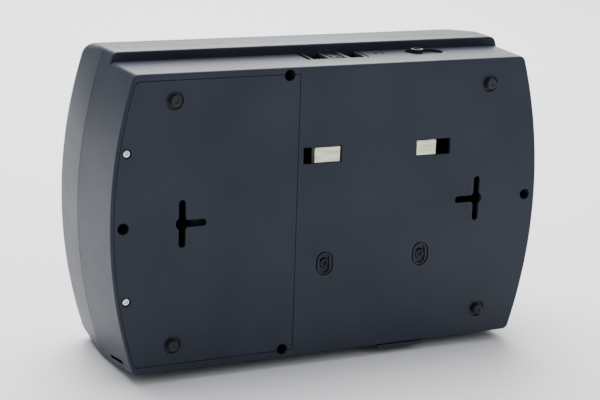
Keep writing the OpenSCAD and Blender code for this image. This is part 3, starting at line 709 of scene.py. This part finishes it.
def roundedRing(halfW, halfH, corner, y, perCorner=5):
    ring = []
    for sx, sz, start in ((1, 1, 0), (-1, 1, 90), (-1, -1, 180), (1, -1, 270)):
        for i in range(perCorner):
            a = math.radians(start + 90 * i / (perCorner - 1))
            ring.append((sx * (halfW - corner) + corner * math.cos(a), y,
                         sz * (halfH - corner) + corner * math.sin(a)))
    return ring


def capMesh(name, halfW, halfH, front, back, flangeFront):
    c = keyCap["corner"] * mm
    e = keyCap["edge"] * mm
    dish = keyCap["dish"] * mm
    flare = keyCap["flange"] * mm
    flareUp = flare * keyCap["flangeUp"]
    rings = [roundedRing(halfW + flare, halfH + flareUp, c, back),
             roundedRing(halfW + flare, halfH + flareUp, c, flangeFront),
             roundedRing(halfW, halfH, c, flangeFront)]
    for i in range(5):
        a = math.pi / 2 * i / 4
        inset = e * (1 - math.cos(a))
        rings.append(roundedRing(halfW - inset, halfH - inset, c - inset, front + e * (1 - math.sin(a))))
    for i in range(1, 6):
        t = i / 6
        rings.append(roundedRing((halfW - e) * (1 - t), (halfH - e) * (1 - t), (c - e) * (1 - t),
                                 front + dish * (1 - (1 - t) ** 2)))
    return ringLoft(name, rings)


def digitMesh(name, digit, centre):
    text = bpy.data.curves.new(name, "FONT")
    text.body = digit
    text.size = keyCap["digit"] * mm
    text.align_x = "CENTER"
    text.align_y = "CENTER"
    text.extrude = keyCap["markDepth"] * mm
    holder = bpy.data.objects.new(name, text)
    bpy.context.scene.collection.objects.link(holder)
    mesh = baked(holder, name)
    mesh.transform(Matrix.Translation(centre) @ Matrix.Rotation(math.pi / 2, 4, "X"))
    return mesh


def signMesh(name, key, centre):
    # flat shapes given a little depth; the power sign also has an open ring
    work = bmesh.new()
    depth = keyCap["markDepth"] * mm
    for shape in signs[key]:
        near = [work.verts.new((centre.x + x * mm, centre.y - depth, centre.z + z * mm)) for x, z in shape]
        far = [work.verts.new((centre.x + x * mm, centre.y + depth, centre.z + z * mm)) for x, z in shape]
        work.faces.new(near)
        work.faces.new(far[::-1])
        for i in range(len(shape)):
            j = (i + 1) % len(shape)
            work.faces.new((near[i], far[i], far[j], near[j]))
    if key == "key_power":
        outer = powerRing["outer"] * mm
        inner = powerRing["inner"] * mm
        section = ((outer, -depth), (inner, -depth), (inner, depth), (outer, depth))
        made = []
        for i in range(powerRing["steps"] + 1):
            a = math.radians(powerRing["start"] + powerRing["sweep"] * i / powerRing["steps"])
            across = Vector((math.cos(a), 0, math.sin(a)))
            made.append([work.verts.new(centre + across * r + Vector((0, y, 0))) for r, y in section])
        for first, second in zip(made, made[1:]):
            for i in range(4):
                work.faces.new((first[i], first[(i + 1) % 4], second[(i + 1) % 4], second[i]))
        work.faces.new(made[0])
        work.faces.new(made[-1])
    return meshFrom(work, name)


def addKeys():
    for key in list(keyMarks) + list(signs):
        low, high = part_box(key)
        centre = (low + high) / 2
        halfW = (high.x - low.x) / 2 - keyCap["flange"] * mm
        halfH = (high.z - low.z) / 2 - mm
        flangeFront = high.y - keyCap["flange"] * mm
        cap = capMesh(key.replace("key_", "cap"), halfW, halfH, low.y, high.y, flangeFront)
        cap.transform(Matrix.Translation((centre.x, 0, centre.z)))
        smoothMesh(cap, 50)
        addPiece(key.replace("key_", "cap_"), cap, "keyPlastic", key, [key])
        markAt = Vector((centre.x, low.y + keyCap["dish"] * mm * 0.9, centre.z))
        if key in keyMarks:
            mark = digitMesh(key + "Mark", keyMarks[key], markAt)
        else:
            mark = signMesh(key + "Mark", key, markAt)
        addPiece(key.replace("key_", "mark_"), mark, "keyInk", key)


addKeys()
print("keys made")


# every other CAD node keeps its shape and takes its finish from its slot

slotFinish = {
    "screen_glass": "screenGlass", "display_panel": "screenPanel", "zinc": "zinc", "reader": "reader",
    "circuit_board": "circuitBoard", "bezel": "bezel", "sensor_glass": "sensorGlass",
    "black_part": "blackPart", "light_pipe": "lightPipe", "silicone": "silicone",
    "bright_steel": "brightSteel", "black_steel": "blackSteel", "foot_rubber": "rubber",
    "ribbon": "ribbon", "terminal": "terminal", "relay_case": "relayCase", "battery_case": "batteryCase",
    "key_plastic": "keyPlastic", "wire": "wire", "housing": "housing", "fascia": "fascia",
}
for entry in frame["record"]["subparts"]:
    node = nodes[entry["node"]]
    for i in range(max(1, len(node.material_slots))):
        if not node.material_slots:
            node.data.materials.append(None)
        node.material_slots[i].material = finishes[slotFinish[entry["material_slot"]]]
print("CAD nodes painted")


# floor, light and camera

floorMesh = bpy.data.meshes.new("floor")
half = studio["floorSize"] / 2
corners = [(-half, -half, 0), (half, -half, 0), (half, half, 0), (-half, half, 0)]
floorMesh.from_pydata(corners, [], [(0, 1, 2, 3)])
floor = bpy.data.objects.new("floor", floorMesh)
bpy.context.scene.collection.objects.link(floor)
paper = Graph("paleFloor")
floorMesh.materials.append(paper.finish(colour=studio["floor"], roughness=0.6, specular=0.3))
world = bpy.data.worlds.new("studio")
bpy.context.scene.world = world
world.use_nodes = True
backdrop = world.node_tree.nodes["Background"]
backdrop.inputs["Color"].default_value = studio["world"]
backdrop.inputs["Strength"].default_value = studio["worldStrength"]
for softbox in softboxes:
    makeSoftbox(*softbox)
makeCamera()
print("stage made")
